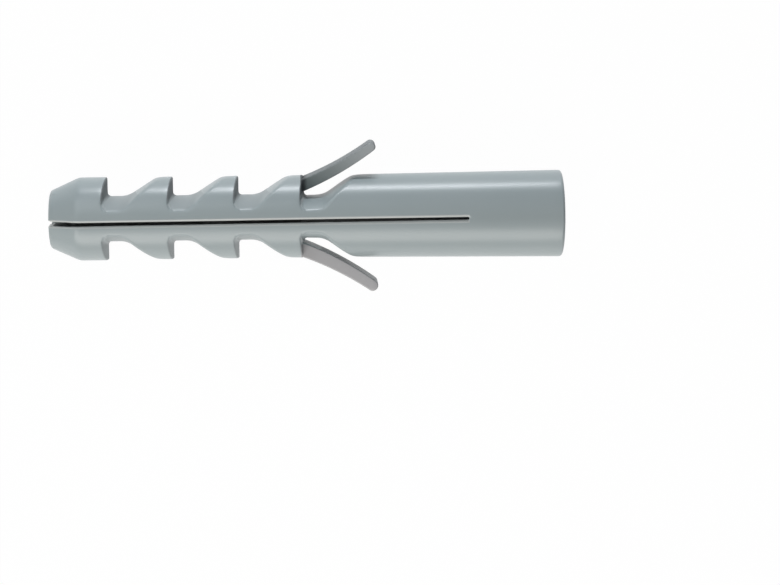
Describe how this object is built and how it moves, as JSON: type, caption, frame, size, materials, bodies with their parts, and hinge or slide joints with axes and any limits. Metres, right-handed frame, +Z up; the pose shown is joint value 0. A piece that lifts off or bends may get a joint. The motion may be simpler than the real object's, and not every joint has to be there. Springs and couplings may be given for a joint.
{
  "type": "wall plug",
  "caption": "Slotted nylon expansion plug with saw-tooth notches, spring wings and a tapered screw bore, lying on its side.",
  "frame": {"origin": "on the floor, below the middle of the plug's length, with the plug lying on its side", "axes": "+X along the plug from the nose to the head, +Y across it through one spring wing, +Z up, out of the slot"},
  "size_m": [0.06, 0.0176, 0.01],
  "materials": {
    "nylon": "satin, as moulded"
  },
  "bodies": {
    "root": {"plug_body": "nylon"}
  },
  "joints": []
}
